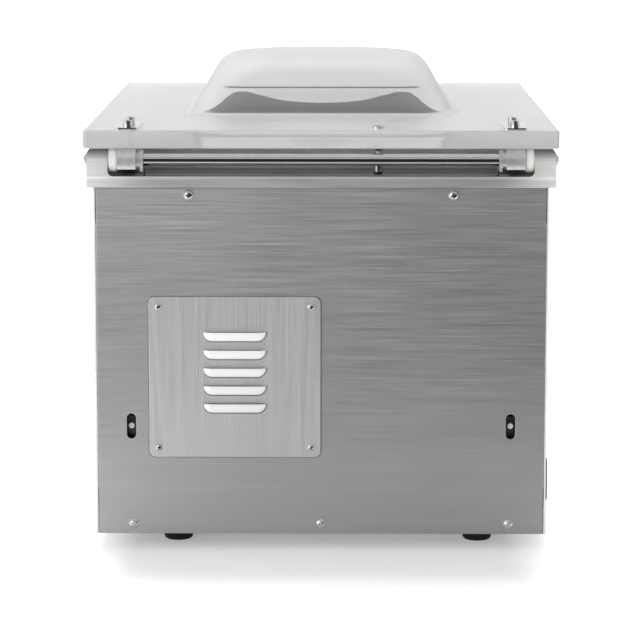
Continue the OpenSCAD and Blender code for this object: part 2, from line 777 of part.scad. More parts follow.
module seal_lift_cylinders() {
  color("dimgray") for (s = [-1, 1]) translate([s * lift_x, seal_y, chamber_floor]) difference() {
    union() {
      cylinder(r = seal_back - chamber_bend, h = 3);
      translate([0, 0, 3]) cylinder(d = 26, h = 3);
      translate([0, 0, 3]) cylinder(d = 20, h = 31);
      translate([0, 0, 30]) cylinder(d = 23, h = 6);
    }
    translate([0, 0, 5]) cylinder(r = lift_pin_d / 2 + 0.05, h = 40);
  }
}

// ---- Lid switch ----

module lid_switch() {
  body_top = floor_z - sheet;
  color("darkslategray") translate([switch_x, switch_y, 0]) difference() {
    union() {
      translate([-10, -14, body_top - 16]) cube([20, 28, 16]);
      for (y = [-8, 0, 8]) translate([-1.5, y - 0.4, body_top - 22]) cube([3, 0.8, 7]);
    }
    translate([0, 0, body_top - 10]) cylinder(r = 3.05, h = 20);
  }
}

module lid_switch_plunger() {
  bottom = floor_z - sheet - 6;
  color("white") translate([switch_x, switch_y, bottom]) cylinder(r = 3, h = switch_top - bottom);
}

// ---- Pump, motor and valves ----

module vacuum_pump() {
  y0 = pump_y - pump_l / 2;
  z0 = foot_h + sheet + 14;
  color("slategray") translate([motor_x, 0, z0]) difference() {
    union() {
      translate([0, pump_y, 0]) rbox(pump_w, pump_l, 8, 10);
      translate([0, pump_y, 0]) rbox(pump_w - 14, pump_l, 96, 8);
      translate([0, pump_y, 100]) rbox(pump_w - 6, pump_l - 6, pump_h - 100, 8);
      translate([0, pump_y, 90]) rbox(pump_w - 22, pump_l - 16, 20, 6);
      // Cooling ribs
      for (z = [20 : 12 : 80]) translate([0, pump_y, z]) rbox(pump_w - 4, pump_l - 20, 3, 6);
      // End cover
      translate([0, y0 + 1, motor_z - z0]) rotate([90, 0, 0]) cylinder(r = 40, h = 12);
      // Register for the motor's flange
      translate([0, pump_y + pump_l / 2 + 4, motor_z - z0]) rotate([90, 0, 0]) cylinder(r = 36, h = 6);
    }
    for (a = [0 : 60 : 300]) translate([32 * cos(a), y0 - 9, motor_z - z0 + 32 * sin(a)])
      rotate([90, 0, 0]) cylinder(d = 6, h = 4);
    // Seat of the oil sight between the ribs
    translate([7 - pump_w / 2, pump_y, 32]) rotate([0, -90, 0]) cylinder(r = 13.5, h = 12);
  }
}

module pump_oil_sight() {
  color("khaki") translate([motor_x - pump_w / 2 + 7, pump_y, foot_h + sheet + 46]) rotate([0, -90, 0])
    difference() {
      cylinder(r = 13, h = 9);
      translate([0, 0, 7]) cylinder(r = 9, h = 5);
    }
}

module exhaust_filter() {
  color("gray") translate([motor_x + 28, pump_y - 10, foot_h + sheet + 14 + pump_h]) {
    cylinder(r = 16, h = 6);
    cylinder(r = 13, h = 30);
    translate([0, 0, 26]) cylinder(r = 15, h = 5);
  }
}

module pump_mounts() {
  color("black") for (x = [-1, 1], y = [-1, 1])
    translate([motor_x + x * 46, pump_y + y * 40, foot_h + sheet]) {
      cylinder(r = 10, h = 14);
    }
}

module pump_motor() {
  front_y = motor_rear_y - motor_l;
  color("steelblue") translate([motor_x, front_y, motor_z]) rotate([-90, 0, 0]) difference() {
    union() {
      cylinder(r = motor_r - 5, h = motor_l);
      cylinder(r = 44, h = 10);
      for (a = [0 : 15 : 345]) rotate(a) translate([motor_r - 8, -1.2, 12]) cube([8, 2.4, motor_l - 22]);
      translate([0, 0, motor_l]) cylinder(r = 12, h = 4);
    }
    // Room for the fan's shaft
    translate([0, 0, motor_l - 20]) cylinder(r = 4.05, h = 30);
  }
}

module motor_bracket() {
  front_y = motor_rear_y - motor_l;
  color("silver") for (y = [front_y + 22, front_y + 92]) difference() {
    translate([motor_x - 44, y, foot_h + sheet]) cube([88, 12, motor_z - foot_h - sheet - 12]);
    translate([motor_x, y - 1, motor_z]) rotate([-90, 0, 0]) cylinder(r = motor_r, h = 14);
    translate([motor_x - 30, y - 1, foot_h + sheet + 4]) cube([60, 14, 20]);
  }
}

module motor_fan() {
  color("black") translate([motor_x, fan_y, motor_z]) rotate([-90, 0, 0]) {
    translate([0, 0, motor_rear_y - fan_y - 14]) cylinder(r = 4, h = 30 - motor_rear_y + fan_y - 6);
    cylinder(r = 14, h = 12);
    for (a = [0 : 60 : 300]) rotate(a) translate([12, 0, 6]) rotate([38, 0, 0])
      cube([fan_r - 12, 1.8, 15]);
  }
}

module vacuum_valve() {
  z0 = foot_h + sheet;
  color("goldenrod") translate([valve_x, 96, z0]) {
    rbox(46, 40, 22, 4);
    translate([0, 0, 22]) rbox(34, 34, 26, 4);
    translate([0, 0, 48]) cylinder(r = 7, h = 8);
    translate([0, 30, 11]) rotate([90, 0, 0]) cylinder(r = 8, h = 12);
  }
}

module vacuum_hoses() {
  r = 7;
  port_y = chamber_y + chamber_l / 2 + sheet;
  port_z = chamber_floor + 40;
  valve_y = 126;
  color("white") difference() {
    pipe([[valve_x, valve_y, foot_h + sheet + 11], [valve_x, valve_y + 46, foot_h + sheet + 11],
          [valve_x, valve_y + 46, port_z - 20], [valve_x, port_y, port_z]], r);
    translate([valve_x - 20, port_y - 30, port_z - 30]) cube([40, 30, 60]);
  }
}

module transformer() {
  z0 = foot_h + sheet;
  color("saddlebrown") translate([-105, -60, z0]) {
    rbox(84, 70, 4, 4);
    translate([-36, -26, 4]) cube([72, 52, 60]);
    translate([0, 0, 14]) rbox(48, 76, 40, 8);
  }
}

// ---- Controls ----

module control_fascia() {
  w = 2 * side_in;
  color("lightgray") on_fascia([0, 0]) difference() {
    translate([-w / 2, 1.2, -sheet]) cube([w, fascia_len - 2, sheet]);
    translate([gauge_at[0], gauge_at[1], -5]) cylinder(r = gauge_d / 2 + 1, h = 10);
    translate([display_at[0], display_at[1], -5]) rbox(64, 24, 10, 2);
    for (p = buttons_at) translate([p[0], p[1], -5]) cylinder(r = button_d / 2 + 0.3, h = 10);
    translate([rocker_at[0], rocker_at[1], -5]) rbox(21.6, 27.6, 10, 1);
  }
}

module display_window() {
  color("black") on_fascia(display_at) {
    translate([0, 0, -sheet]) rbox(64, 24, sheet, 2);
    rbox(70, 30, 1, 3);
  }
}

module push_button(i) {
  color("dimgray") on_fascia(buttons_at[i]) {
    translate([0, 0, -2]) cylinder(d = button_d, h = 4.2);
    translate([0, 0, 2.2]) cylinder(d = button_d - 1.6, h = 0.6);
    translate([0, 0, -sheet - 1.4]) cylinder(d = button_d + 3, h = 1.4);
    translate([0, 0, board_z + 6 + button_travel]) cylinder(d = 4, h = -board_z - 8 - button_travel);
  }
}

module button_one() { push_button(0); }

module button_two() { push_button(1); }

module button_three() { push_button(2); }

module button_four() { push_button(3); }

module control_board() {
  color("darkgreen") on_fascia([0, 118]) {
    translate([0, 0, board_z - 1.6]) rbox(124, 92, 1.6, 3);
    for (p = buttons_at) translate([p[0], p[1] - 118, board_z]) rbox(6, 6, 3.6, 0.5);
    for (p = buttons_at) translate([p[0], p[1] - 118, board_z]) cylinder(d = 3.4, h = 5.6);
    translate([0, display_at[1] - 118, board_z]) rbox(60, 22, 9, 1);
    for (x = [-56, 56], y = [-40, 40]) translate([x, y, board_z]) cylinder(d = 6, h = -board_z - sheet);
    for (x = [-40, 0, 40]) translate([x, -34, board_z - 14]) rbox(16, 12, 13, 1);
    translate([30, 26, board_z - 20]) cylinder(r = 7, h = 19);
  }
}

module gauge_case() {
  r = gauge_d / 2;
  color("black") on_fascia(gauge_at) difference() {
    union() {
      translate([0, 0, -26]) cylinder(r = r + 1, h = 26);
      translate([0, 0, -40]) cylinder(r = 6.5, h = 15);
    }
    translate([0, 0, -9]) cylinder(r = r - 1, h = 20);
    translate([0, 0, -22]) cylinder(r = 1.3, h = 20);
  }
}

module gauge_bezel() {
  r = gauge_d / 2;
  color("silver") on_fascia(gauge_at) difference() {
    union() {
      cylinder(r = r + 5, h = 2);
      cylinder(r = r + 3.5, h = 4);
    }
    translate([0, 0, -1]) cylinder(r = r - 1, h = 20);
  }
}

module gauge_dial() {
  color("white") on_fascia(gauge_at) difference() {
    translate([0, 0, -9]) cylinder(r = gauge_d / 2 - 1, h = 1);
    translate([0, 0, -12]) cylinder(r = 2.6, h = 10);
  }
}

module gauge_pointer() {
  len = gauge_d / 2 - 8;
  color("firebrick") on_fascia(gauge_at) rotate(135) {
    translate([0, 0, -20]) cylinder(r = 1.25, h = 14);
    translate([0, 0, -7]) cylinder(r = 3.2, h = 1.4);
    translate([0, 0, -6.4]) linear_extrude(0.8) polygon([[-8, -1.4], [-8, 1.4], [len, 0.4], [len, -0.4]]);
  }
}

module gauge_lens() {
  color("lightcyan", 0.4) on_fascia(gauge_at, 1) cylinder(r = gauge_d / 2 - 1, h = 2);
}

module rocker_frame() {
  color("black") on_fascia(rocker_at) difference() {
    union() {
      rbox(25, 31, 1.8, 2);
      translate([0, 0, -18]) rbox(21.6, 27.6, 18, 1);
      for (y = [-8, 0, 8]) translate([-3, y - 0.4, -26]) cube([6, 0.8, 9]);
    }
    translate([0, 0, -14]) rbox(17.4, 24, 20, 1);
    translate([-10.2, 0, rocker_pivot]) rotate([0, 90, 0]) cylinder(r = 1.56, h = 20.4);
  }
}

// Two-slope rocker cap with its pivot pins
module power_rocker() {
  color("firebrick") on_fascia(rocker_at, rocker_pivot) rotate([rocker_swing / 2, 0, 0]) {
    translate([-8.2, 0, 0]) rotate([90, 0, 90]) linear_extrude(16.4) intersection() {
      circle(11.4);
      polygon([[-12, -2.5], [12, -2.5], [12, 8.4], [0, 6.4], [-12, 8.4]]);
    }
    translate([-9.8, 0, 0]) rotate([0, 90, 0]) cylinder(r = 1.5, h = 19.6);
  }
}

// ---- Power inlet on the left side panel ----

// Three flat contacts from depth z outwards
module inlet_blades(z, h) {
  for (p = [[-2, -7], [-2, 7], [2, 0]]) translate([p[0] - 2, p[1] - 1, z]) cube([4, 2, h]);
}

module power_inlet() {
  face = -body_w / 2;
  color("black") translate([face, inlet_y, inlet_z]) rotate([0, -90, 0]) difference() {
    union() {
      rbox(31, 50, 2.5, 3);
      translate([0, 0, -24]) rbox(20, 27.6, 24, 3);
    }
    translate([0, 0, -18]) rbox(17, 24.6, 30, 3);
    inlet_blades(-25, 10);
  }
}

module inlet_pins() {
  color("silver") translate([-body_w / 2, inlet_y, inlet_z]) rotate([0, -90, 0]) inlet_blades(-30, 27);
}

feet();
base_tray();
left_side_panel();
right_side_panel();
rear_panel();
vent_plate();
vent_plate_screws();
rear_panel_screws();
deck_frame();
chamber_tub();
chamber_gasket();
filler_plate();
hinge_rod();
hinge_side_screws();
hinge_bushes();
lid_plate();
hinge_blocks();
clamp_plates();
lid_screws();
lid_striker();
counter_bar_holder();
counter_bar_strip();
lid_springs();
spring_brackets();
spring_anchor_bolts();
seal_bar();
seal_bar_insulator();
heating_element();
seal_bar_cover_tape();
seal_bar_pins();
seal_lift_cylinders();
lid_switch();
lid_switch_plunger();
vacuum_pump();
pump_oil_sight();
exhaust_filter();
pump_mounts();
pump_motor();
motor_bracket();
motor_fan();
vacuum_valve();
vacuum_hoses();
transformer();
control_board();
control_fascia();
gauge_case();
gauge_bezel();
gauge_dial();
gauge_pointer();
gauge_lens();
display_window();
button_one();
button_two();
button_three();
button_four();
rocker_frame();
power_rocker();
power_inlet();
inlet_pins();
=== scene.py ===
"""Tabletop chamber vacuum sealer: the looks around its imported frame.

Everything is in metres, in the frame of the CAD part, unless a comment says mm: +Z is up, the control side
faces -Y and the hinge side faces +Y.
"""

import math

import bmesh
import bpy
from mathutils import Euler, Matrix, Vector


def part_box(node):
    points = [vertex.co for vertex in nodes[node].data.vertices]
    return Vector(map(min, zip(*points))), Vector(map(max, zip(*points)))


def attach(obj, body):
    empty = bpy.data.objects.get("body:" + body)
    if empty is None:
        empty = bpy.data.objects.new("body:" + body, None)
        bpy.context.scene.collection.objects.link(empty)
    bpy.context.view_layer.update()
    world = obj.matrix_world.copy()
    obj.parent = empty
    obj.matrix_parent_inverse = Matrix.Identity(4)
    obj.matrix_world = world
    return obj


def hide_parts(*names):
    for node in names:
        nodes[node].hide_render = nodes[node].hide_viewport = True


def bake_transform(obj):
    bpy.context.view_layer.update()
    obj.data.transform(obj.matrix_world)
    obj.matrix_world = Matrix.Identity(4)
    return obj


MM = 0.001

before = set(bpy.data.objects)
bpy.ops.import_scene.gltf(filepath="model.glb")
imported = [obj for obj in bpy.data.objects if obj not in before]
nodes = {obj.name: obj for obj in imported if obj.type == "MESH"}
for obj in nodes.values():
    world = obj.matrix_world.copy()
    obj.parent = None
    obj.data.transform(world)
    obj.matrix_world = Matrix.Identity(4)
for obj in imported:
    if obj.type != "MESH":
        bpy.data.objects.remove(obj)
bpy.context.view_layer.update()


# ---- Materials ----


class Graph:
    """Short calls for building a node tree."""

    def __init__(self, tree):
        self.tree = tree

    def node(self, kind, **values):
        """A new node; each value goes to the input of that name, or else to the node's own setting."""
        made = self.tree.nodes.new(kind)
        for key, value in values.items():
            if key in made.inputs:
                made.inputs[key].default_value = value
            else:
                setattr(made, key, value)
        return made

    def link(self, source, target):
        self.tree.links.new(source, target)

    def math(self, operation, a, b=0.0, clamp=False):
        """One Math node; a and b are sockets or numbers."""
        made = self.node("ShaderNodeMath", operation=operation, use_clamp=clamp)
        for socket, value in zip(made.inputs, (a, b)):
            if isinstance(value, (int, float)):
                socket.default_value = value
            else:
                self.link(value, socket)
        return made.outputs["Value"]

    def multiply(self, a, b):
        return self.math("MULTIPLY", a, b)

    def map(self, value, source, target, kind="LINEAR"):
        """value, with the range source carried over to the range target."""
        made = self.node("ShaderNodeMapRange", interpolation_type=kind)
        for key, number in zip(("From Min", "From Max", "To Min", "To Max"), (*source, *target)):
            made.inputs[key].default_value = number
        self.link(value, made.inputs["Value"])
        return made.outputs["Result"]

    def step(self, value, place, soft):
        """0 before a place and 1 after it, over a soft step."""
        return self.map(value, (place - soft / 2, place + soft / 2), (0, 1), "SMOOTHSTEP")

    def between(self, mask, low, high):
        """low where mask is 0 and high where it is 1."""
        return self.map(mask, (0, 1), (low, high))

    def part(self, vector, axis):
        """One component of a vector."""
        made = self.node("ShaderNodeSeparateXYZ")
        self.link(vector, made.inputs["Vector"])
        return made.outputs[axis]

    def ramp(self, value, stops):
        """Grey levels at the given places."""
        made = self.node("ShaderNodeValToRGB")
        self.link(value, made.inputs["Fac"])
        points = made.color_ramp.elements
        while len(points) < len(stops):
            points.new(0.5)
        for point, (place, level) in zip(points, stops):
            point.position = place
            point.color = (level, level, level, 1.0)
        return made.outputs["Color"]

    def curve(self, value, points):
        """Height of a smooth curve through points, in metres, over a value in metres."""
        reach = points[-1][0]
        top = max(high for _, high in points)
        made = self.node("ShaderNodeFloatCurve")
        line = made.mapping.curves[0].points
        while len(line) < len(points):
            line.new(0.5, 0.5)
        for point, (across, high) in zip(line, points):
            point.location = (across / reach, high / top)
        made.mapping.update()
        self.link(self.math("DIVIDE", value, reach, clamp=True), made.inputs["Value"])
        return self.multiply(made.outputs["Value"], top)

    def backdrop_rays(self):
        """1 for the rays that should meet a white backdrop: those seen, mirrored or passed by glass."""
        rays = self.node("ShaderNodeLightPath").outputs
        seen = self.math("MAXIMUM", rays["Is Camera Ray"], rays["Is Transmission Ray"])
        return self.math("MAXIMUM", seen, rays["Is Glossy Ray"])


class Finish(Graph):
    """A Principled material whose colour, roughness and bump come from noise in the object's own space."""

    def __init__(self, name, colour, metallic=0.0, roughness=0.5):
        self.material = bpy.data.materials.new(name)
        self.material.use_nodes = True
        super().__init__(self.material.node_tree)
        self.shader = self.tree.nodes["Principled BSDF"]
        self.roughness = roughness
        self.set("Base Color", (*colour, 1.0))
        self.set("Metallic", metallic)
        self.set("Roughness", roughness)
        self.factor = 1.0
        self.tone = self.node("ShaderNodeVectorMath", operation="SCALE")
        self.tone.inputs[0].default_value = colour
        self.drive("Base Color", self.tone.outputs["Vector"])

    def set(self, socket, value):
        """A setting of the shader that is the same all over."""
        self.shader.inputs[socket].default_value = value
        return self

    def drive(self, socket, value):
        """A setting of the shader that varies over the surface."""
        self.link(value, self.shader.inputs[socket])
        return self

    def noise(self, scale, detail=3.0, rough=0.55):
        """A noise whose features are 1/scale metres long along each axis."""
        where = self.node("ShaderNodeTexCoord")
        mapping = self.node("ShaderNodeMapping", Scale=scale)
        made = self.node("ShaderNodeTexNoise", Scale=1.0, Detail=detail, Roughness=rough)
        self.link(where.outputs["Object"], mapping.inputs["Vector"])
        self.link(mapping.outputs["Vector"], made.inputs["Vector"])
        return made.outputs["Fac"]

    def spread(self, value, low, high):
        """A noise with its middle stretched over low to high."""
        return self.map(value, (0.3, 0.7), (low, high))

    def place(self, axis):
        """Position along an axis in the object's own frame."""
        return self.part(self.node("ShaderNodeTexCoord").outputs["Object"], axis)

    def off_middle(self, axis):
        """Distance from the plane through the origin across an axis."""
        return self.math("ABSOLUTE", self.place(axis))

    def toward(self, axis):
        """How far the surface faces along an axis, from -1 to 1."""
        return self.part(self.node("ShaderNodeTexCoord").outputs["Normal"], axis)

    def facing(self, axis):
        """1 where the surface faces along the axis, either way, and 0 where it lies along it."""
        return self.math("ABSOLUTE", self.toward(axis))

    def band(self, value, low, high, soft):
        """1 between two places, with soft ends; in mm."""
        return self.multiply(self.step(value, low * MM, soft * MM), self.step(value, high * MM, -soft * MM))

    def tint(self, *factors):
        """Base colour times these factors, which vary over the surface, and times those given before."""
        for factor in factors:
            self.factor = self.multiply(self.factor, factor)
        self.link(self.factor, self.tone.inputs["Scale"])
        return self

    def rough(self, value, swing):
        """Roughness that a noise takes up and down by a swing."""
        return self.drive("Roughness", self.spread(value, self.roughness - swing, self.roughness + swing))

    def bump(self, value, depth, rounding=0.0):
        """Relief of a depth; rounding softens the edges of sheet metal by that radius."""
        made = self.node("ShaderNodeBump", Strength=1.0, Distance=depth)
        self.link(value, made.inputs["Height"])
        if rounding:
            edge = self.node("ShaderNodeBevel", samples=4, Radius=rounding)
            self.link(edge.outputs["Normal"], made.inputs["Normal"])
        return self.drive("Normal", made.outputs["Normal"])


def brushed(name, axis, shade, roughness=0.34, contrast=0.16, cloud=0.1):
    """Sheet steel brushed along one axis (0 = X, 1 = Y, 2 = Z)."""
    finish = Finish(name, (shade, shade, shade * 0.99), 1.0, roughness)
    streaks = finish.noise([14.0 if i == axis else 1300.0 for i in range(3)], 4.0, 0.7)
    bands = finish.noise([2.0 if i == axis else 90.0 for i in range(3)], 3.0)
    clouds = finish.noise([4.0, 4.0, 4.0], 2.0)
    finish.tint(
        finish.spread(streaks, 1 - contrast, 1 + contrast),
        finish.spread(bands, 1 - contrast / 4, 1 + contrast / 4),
        finish.spread(clouds, 1 - cloud, 1 + cloud),
    )
    finish.rough(streaks, 0.08)
    return finish.bump(streaks, 0.0002 * contrast, rounding=0.8 * MM)


PLATE_T = 1.2 * MM
HOOD_OUT = 0.9 * MM  # a louvre's hood, painted pale as a reflection of the floor, starts this far over the plate
FOOT_OUT = 0.05 * MM  # and its foot, painted dark as the shade of its slit and bend, this far


def louvred(name, shade):
    """Plate brushed upright; each pressed louvre has a pale dull hood, a painted reflection of the floor
    under it, and a dark foot, painted shade round its slit and bend.
    """
    finish = brushed(name, 2, shade, roughness=0.5, contrast=0.05)
    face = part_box("rear_panel")[1].y + PLATE_T
    hood = finish.step(finish.place("Y"), face + HOOD_OUT, 0.5 * MM)
    foot = finish.step(finish.place("Y"), face + FOOT_OUT, 0.02 * MM)
    # Painted reflection on the hood and painted shade on the foot
    painted_hood_highlight, painted_slit_shade = 1.2, 0.35
    finish.drive("Metallic", finish.between(hood, 0.88, 0.3))
    return finish.tint(
        finish.between(foot, 1.0, painted_slit_shade),
        finish.between(hood, 1.0, painted_hood_highlight / painted_slit_shade),
    )


BODY_MIDDLE = 140 * MM  # height at which the painted light gradient leaves the tone as it is


def painted_light_gradient(finish, sideways, upwards):
    """Sheet with painted light and shade: its tone changes by the given shares for each metre to +X and up
    from the body's middle.
    """
    drift = finish.math("ADD", finish.multiply(finish.place("X"), sideways), 1.0 - upwards * BODY_MIDDLE)
    return finish.tint(finish.math("ADD", drift, finish.multiply(finish.place("Z"), upwards)))


VENT_CORNER = 4 * MM  # radius


def panel_steel():
    """The rear panel, with a painted contact shadow: a thin dark line round the louvred plate that lies on
    it.
    """
    # Painted light: the tone is lighter to +X and towards the top
    finish = painted_light_gradient(brushed("panel_steel", 0, 0.74, roughness=0.5, contrast=0.08, cloud=0.06), 0.4, 2.2)
    low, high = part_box("vent_plate")
    squares = []
    for axis, near, far in (("X", low.x, high.x), ("Z", low.z, high.z)):
        off = finish.math("ABSOLUTE", finish.math("SUBTRACT", finish.place(axis), (near + far) / 2))
        past = finish.math("SUBTRACT", off, (far - near) / 2 - VENT_CORNER)
        past = finish.math("MAXIMUM", past, 0.0)
        squares.append(finish.multiply(past, past))
    reach = finish.math("POWER", finish.math("ADD", *squares), 0.5)
    gap = finish.math("SUBTRACT", reach, VENT_CORNER)
    # Painted shadow: a thin dark band just round the vent plate
    line = finish.band(gap, -1.0, 0.8, 0.4)
    return finish.tint(finish.between(line, 1.0, 0.6))


def sheet_edge_highlights(finish):
    """Sheet whose sawn rear edges are dull and pale: a painted highlight along them."""
    # Painted highlight on the faces that look to the rear
    edge = finish.step(finish.toward("Y"), 0.7, 0.2)
    finish.drive("Metallic", finish.between(edge, 1.0, 0.0))
    return finish.tint(finish.between(edge, 1.0, 1.9))


STRIKER_OVER_TROUGH = 1.7 * MM  # from the trough's floor up to the striker's foot
# Painted highlight and shade lines of the deck: their first and last place and how soft they are, in mm
LIP_UNDER_TROUGH = (0.3, 1.9, 0.3)
SHEEN_FROM_REAR = (6.0, 15.0, 2.0)
FOLD_SHADE_FROM_REAR = (-1.0, 5.0, 0.6)


def deck_steel():
    """The deck with painted light: level faces, sides and front painted darker as shade, painted highlight
    lines on the rear face under the trough and on its floor, a painted dark line at the fold, and rear ends
    painted paler.
    """
    finish = brushed("deck_steel", 0, 0.84, roughness=0.5)
    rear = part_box("deck_frame")[1].y
    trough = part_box("lid_striker")[0].z - STRIKER_OVER_TROUGH
    level = finish.facing("Z")
    depth = finish.math("SUBTRACT", rear, finish.place("Y"))
    under = finish.math("SUBTRACT", trough, finish.place("Z"))
    # Painted highlights on the rear face under the trough and on its floor, and a painted dark line at the
    # fold
    painted_lip_highlight = finish.multiply(finish.step(finish.toward("Y"), 0.6, 0.2), finish.band(under, *LIP_UNDER_TROUGH))
    painted_sheen = finish.multiply(level, finish.band(depth, *SHEEN_FROM_REAR))
    painted_fold_shade = finish.multiply(level, finish.band(depth, *FOLD_SHADE_FROM_REAR))
    # Painted highlight: the rear ends are painted paler
    ends = finish.step(finish.off_middle("X"), 150 * MM, 60 * MM)
    ends = finish.multiply(ends, finish.step(finish.place("Y"), rear - 30 * MM, 10 * MM))
    # Faces to the sides and front, which are painted darker as shade
    sides = finish.step(finish.facing("X"), 0.5, 0.3)
    front = finish.step(finish.toward("Y"), -0.5, -0.3)
    finish.drive("Metallic", finish.between(ends, 0.88, 0.35))
    # Painted shade on level faces, sides and front; painted highlights on the ends and the bright lines
    return finish.tint(
        finish.between(level, 1.0, 0.32),
        finish.between(ends, 1.05, 1.2),
        finish.between(finish.math("MAXIMUM", sides, front), 1.0, 0.5),
        finish.between(painted_lip_highlight, 1.0, 1.35),
        finish.between(painted_sheen, 1.0, 1.7),
        finish.between(painted_fold_shade, 1.0, 0.4),
    )


def machined(name, shade, metallic=1.0, roughness=0.25, grain=900.0, contrast=0.08):
    """Small turned or milled metal parts: fine even marks and a little tarnish."""
    finish = Finish(name, shade, metallic, roughness)
    marks = finish.noise([grain] * 3, 2.0)
    clouds = finish.noise([60.0] * 3, 3.0)
    finish.tint(
        finish.spread(marks, 1 - contrast, 1 + contrast),
        finish.spread(clouds, 1 - contrast, 1 + contrast),
    )
    finish.rough(clouds, 0.05)
    return finish.bump(marks, 0.00001)


def moulded(name, colour, roughness=0.5, grain=1400.0, depth=0.00003, contrast=0.06):
    """Plastic, rubber or enamel with a fine spark-eroded or sprayed grain."""
    finish = Finish(name, colour, 0.0, roughness)
    pores = finish.noise([grain] * 3, 2.0)
    clouds = finish.noise([25.0] * 3, 3.0)
    finish.tint(
        finish.spread(pores, 1 - contrast, 1 + contrast),
        finish.spread(clouds, 1 - contrast / 2, 1 + contrast / 2),
    )
    finish.rough(clouds, 0.05)
    return finish.bump(pores, depth)


def woven(name, colour):
    """Coated glass cloth: two sets of threads crossing, under a dull film."""
    finish = Finish(name, colour, 0.0, 0.55)
    weft = finish.noise([3000.0, 120.0, 3000.0], 1.0)
    warp = finish.noise([120.0, 3000.0, 3000.0], 1.0)
    threads = finish.multiply(weft, warp)
    finish.tint(finish.spread(threads, 0.92, 1.3))
    return finish.bump(threads, 0.00005)


def glazing(name, colour, roughness=0.03, milk=0.0):
    """Clear plastic or glass; milk is the share of light that it scatters."""
    finish = Finish(name, colour, 0.0, roughness)
    finish.set("IOR", 1.49).set("Transmission Weight", 1.0 - milk)
    haze = finish.noise([30.0] * 3, 3.0)
    finish.tint(finish.spread(haze, 0.985, 1.0))
    return finish.rough(haze, 0.015)


FINISHES = {
    panel_steel(): ["rear_panel"],
    brushed("tray_steel", 0, 0.5, roughness=0.4): ["base_tray"],
    deck_steel(): ["deck_frame"],
    sheet_edge_highlights(brushed("side_steel", 1, 0.5, roughness=0.45)): ["left_side_panel", "right_side_panel"],
    # Painted light on the vent plate: lighter towards the top
    painted_light_gradient(louvred("vent_steel", 0.93), 0.0, 2.2): ["vent_plate"],
    brushed("fascia_steel", 0, 0.42): ["control_fascia"],
    brushed("chamber_steel", 1, 0.42, roughness=0.3, contrast=0.05): ["chamber_tub"],
    # Painted shade: the brackets are nearly black to stand for the dark inside the body
    brushed("shaded_bracket_steel", 0, 0.14): ["spring_brackets", "motor_bracket"],
    machined("clamp_polish", (0.8, 0.8, 0.8), roughness=0.15): ["clamp_plates"],
    machined("rod_chrome", (0.85, 0.85, 0.86), roughness=0.03, contrast=0.03): ["hinge_rod"],
    machined("bolt_zinc", (0.92, 0.92, 0.91), metallic=0.4, roughness=0.3): ["spring_anchor_bolts"],
    machined("screw_zinc", (0.72, 0.72, 0.71), roughness=0.22): [
        "rear_panel_screws",
        "vent_plate_screws",
        "hinge_side_screws",
        "lid_screws",
        "lid_striker",
    ],
    machined("block_alloy", (0.8, 0.8, 0.8), metallic=0.7, roughness=0.38, grain=500.0): [
        "hinge_blocks",
        "seal_bar",
    ],
    machined("dark_alloy", (0.05, 0.05, 0.052), roughness=0.4, grain=500.0): ["counter_bar_holder"],
    machined("element_steel", (0.45, 0.44, 0.42), roughness=0.35): ["heating_element", "seal_bar_pins"],
    machined("bezel_steel", (0.5, 0.5, 0.51), roughness=0.2): ["gauge_bezel"],
    machined("brass_parts", (0.62, 0.42, 0.16), roughness=0.28): ["inlet_pins"],
    machined("lift_alloy", (0.4, 0.4, 0.41), roughness=0.35): ["seal_lift_cylinders", "vacuum_valve"],
    machined("iron_core", (0.12, 0.08, 0.05), metallic=0.6, roughness=0.45): ["transformer"],
    moulded("feet_rubber", (0.015, 0.015, 0.015), 0.75, depth=0.0001): ["feet", "pump_mounts"],
    moulded("hose_rubber", (0.02, 0.02, 0.02), 0.6): ["vacuum_hoses"],
    moulded("gasket_silicone", (0.72, 0.72, 0.69), 0.55): ["chamber_gasket"],
    moulded("strip_silicone", (0.42, 0.08, 0.05), 0.5): ["counter_bar_strip"],
    moulded("bush_nylon", (0.95, 0.92, 0.88), 0.4): ["hinge_bushes"],
    moulded("filler_board", (0.82, 0.82, 0.79), 0.45, grain=700.0, depth=0.0001): ["filler_plate"],
    moulded("cast_enamel", (0.08, 0.1, 0.11), 0.4, grain=500.0): ["vacuum_pump", "exhaust_filter"],
    moulded("motor_enamel", (0.03, 0.07, 0.14), 0.4): ["pump_motor"],
    moulded("black_moulding", (0.012, 0.012, 0.012), 0.42): [
        "motor_fan",
        "gauge_case",
        "rocker_frame",
        "power_inlet",
        "lid_switch",
        "lid_switch_plunger",
    ],
    moulded("board_mask", (0.01, 0.09, 0.03), 0.4): ["control_board"],
    moulded("laminate", (0.1, 0.04, 0.02), 0.5): ["seal_bar_insulator"],
    moulded("dial_enamel", (0.82, 0.82, 0.79), 0.35): ["gauge_dial"],
    moulded("pointer_enamel", (0.4, 0.02, 0.015), 0.35): ["gauge_pointer"],
    moulded("button_moulding", (0.05, 0.055, 0.06), 0.45): [
        "button_one",
        "button_two",
        "button_three",
        "button_four",
    ],
    moulded("rocker_moulding", (0.42, 0.012, 0.01), 0.3): ["power_rocker"],
    moulded("window_tint", (0.01, 0.01, 0.012), 0.12, contrast=0.02): ["display_window"],
    woven("glass_cloth", (0.42, 0.27, 0.14)): ["seal_bar_cover_tape"],
    glazing("sight_glass", (0.9, 0.8, 0.5)): ["pump_oil_sight"],
    glazing("gauge_glass", (0.98, 0.98, 0.98)): ["gauge_lens"],
}
for finish, names in FINISHES.items():
    for name in names:
        for material_slot in nodes[name].material_slots:
            material_slot.material = finish.material


# ---- Mesh helpers ----


def skirt(work, low, high):
    """Faces that join two rings of equally many corners."""
    for i in range(len(low)):
        work.faces.new((low[i - 1], low[i], high[i], high[i - 1]))


